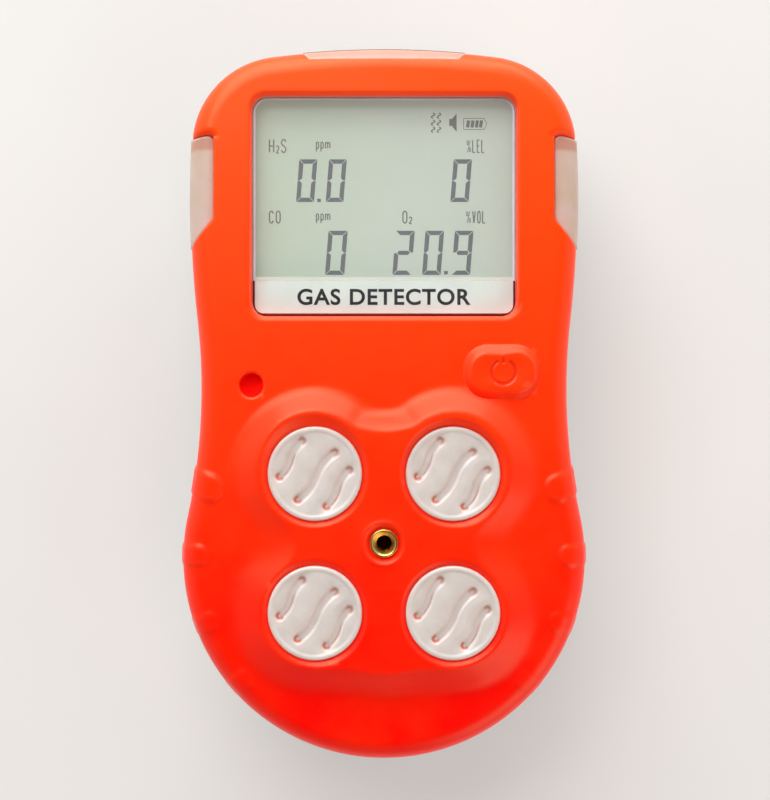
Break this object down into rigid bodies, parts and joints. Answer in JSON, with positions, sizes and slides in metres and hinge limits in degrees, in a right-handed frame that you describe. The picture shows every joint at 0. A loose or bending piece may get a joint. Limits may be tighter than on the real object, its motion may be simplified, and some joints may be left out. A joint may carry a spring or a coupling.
{
  "type": "portable gas detector",
  "caption": "Hand-held four-gas detector: orange shell, recessed display, power button, slotted sensor grilles, alarm windows and a sprung belt clip.",
  "frame": {"origin": "centre of the outline, on the plane that the back rests on", "axes": "+Z out of the display, +Y to the display's end, +X to the display's right"},
  "size_m": [0.0686, 0.1205, 0.034],
  "materials": {
    "orange_shell": "satin moulded elastomer over plastic",
    "dark_nylon": "fine moulded texture",
    "black_rubber": "matte",
    "grey_rubber": "matte",
    "orange_gasket": "matte",
    "clear_lens": "clear, glossy",
    "display_glass": "grey-green display",
    "white_plastic": "diffusing",
    "label_film": "satin film",
    "black_plastic": "satin",
    "red_membrane": "matte film",
    "white_membrane": "matte film",
    "steel": "satin",
    "clip_steel": "brushed",
    "spring_steel": "drawn wire",
    "tungsten": "dull",
    "circuit_board": "solder mask",
    "chip_plastic": "matte",
    "gold_pins": "plated",
    "brass": "turned",
    "battery_foil": "laminate foil",
    "label_plate": "satin foil",
    "sensor_can": "moulded",
    "frosted_window": "frosted, translucent",
    "frosted_grille": "frosted, translucent"
  },
  "bodies": {
    "case": {"front_shell": "orange_shell", "rear_cover": "dark_nylon", "housing_seal": "black_rubber", "display_window": "clear_lens", "window_gasket": "black_rubber", "lcd_glass": "display_glass", "lcd_backlight": "white_plastic", "zebra_strip": "grey_rubber", "label_strip": "label_film", "switch_body": "black_plastic", "buzzer": "black_plastic", "buzzer_membrane": "red_membrane", "vibration_motor": "steel", "motor_holder": "black_rubber", "main_board": "circuit_board", "main_board_chips": "chip_plastic", "board_screws": "steel", "sensor_board": "circuit_board", "sensor_board_chips": "chip_plastic", "board_connector": "black_plastic", "sensor_pins": "gold_pins", "sensor_sockets": "gold_pins", "membranes": "white_membrane", "cal_insert": "brass", "battery_pack": "battery_foil", "battery_pad": "grey_rubber", "charge_socket": "steel", "flap_pin": "steel", "rear_label": "label_plate", "case_screws": "steel", "case_inserts": "brass", "clip_base": "clip_steel", "clip_pin": "steel", "clip_spring": "spring_steel", "clip_screws": "steel", "alarm_leds": "white_plastic", "alarm_window_left": "frosted_window", "alarm_window_right": "frosted_window", "alarm_window_top": "frosted_window", "sensor_h2s": "sensor_can", "grille_h2s": "frosted_grille", "gasket_h2s": "orange_gasket", "sensor_lel": "sensor_can", "grille_lel": "frosted_grille", "gasket_lel": "orange_gasket", "sensor_co": "sensor_can", "grille_co": "frosted_grille", "gasket_co": "orange_gasket", "sensor_o2": "sensor_can", "grille_o2": "frosted_grille", "gasket_o2": "orange_gasket"},
    "button": {"power_button": "orange_shell"},
    "plunger": {"switch_plunger": "white_plastic"},
    "motor_weight": {"vibration_weight": "tungsten"},
    "clip_lever": {"clip_arm": "clip_steel"},
    "flap": {"port_flap": "black_rubber"}
  },
  "joints": [
    {"name": "button_press", "type": "slide", "parent": "case", "child": "button", "axis": [0, 0, -1], "range_m": [0, 0.0005], "stiffness_N_per_m": 3000, "springref_m": -0.0003},
    {"name": "plunger_press", "type": "slide", "parent": "case", "child": "plunger", "axis": [0, 0, -1], "range_m": [0, 0.0005]},
    {"name": "weight_spin", "type": "hinge", "parent": "case", "child": "motor_weight", "pos_m": [-0.0047, 0.044, 0.0144], "axis": [1, 0, 0], "continuous": true},
    {"name": "clip_open", "type": "hinge", "parent": "case", "child": "clip_lever", "pos_m": [0, 0.04, 0.0034], "axis": [1, 0, 0], "range_deg": [0, 18], "stiffness_Nm_per_rad": 0.5, "springref_deg": -22.92, "deforming": ["clip_spring"]},
    {"name": "flap_open", "type": "hinge", "parent": "case", "child": "flap", "pos_m": [0, -0.0591, 0.0138], "axis": [-1, 0, 0], "range_deg": [0, 95]}
  ],
  "couplings": [
    {"joint": "plunger_press", "follows": "button_press", "ratio": 1}
  ]
}
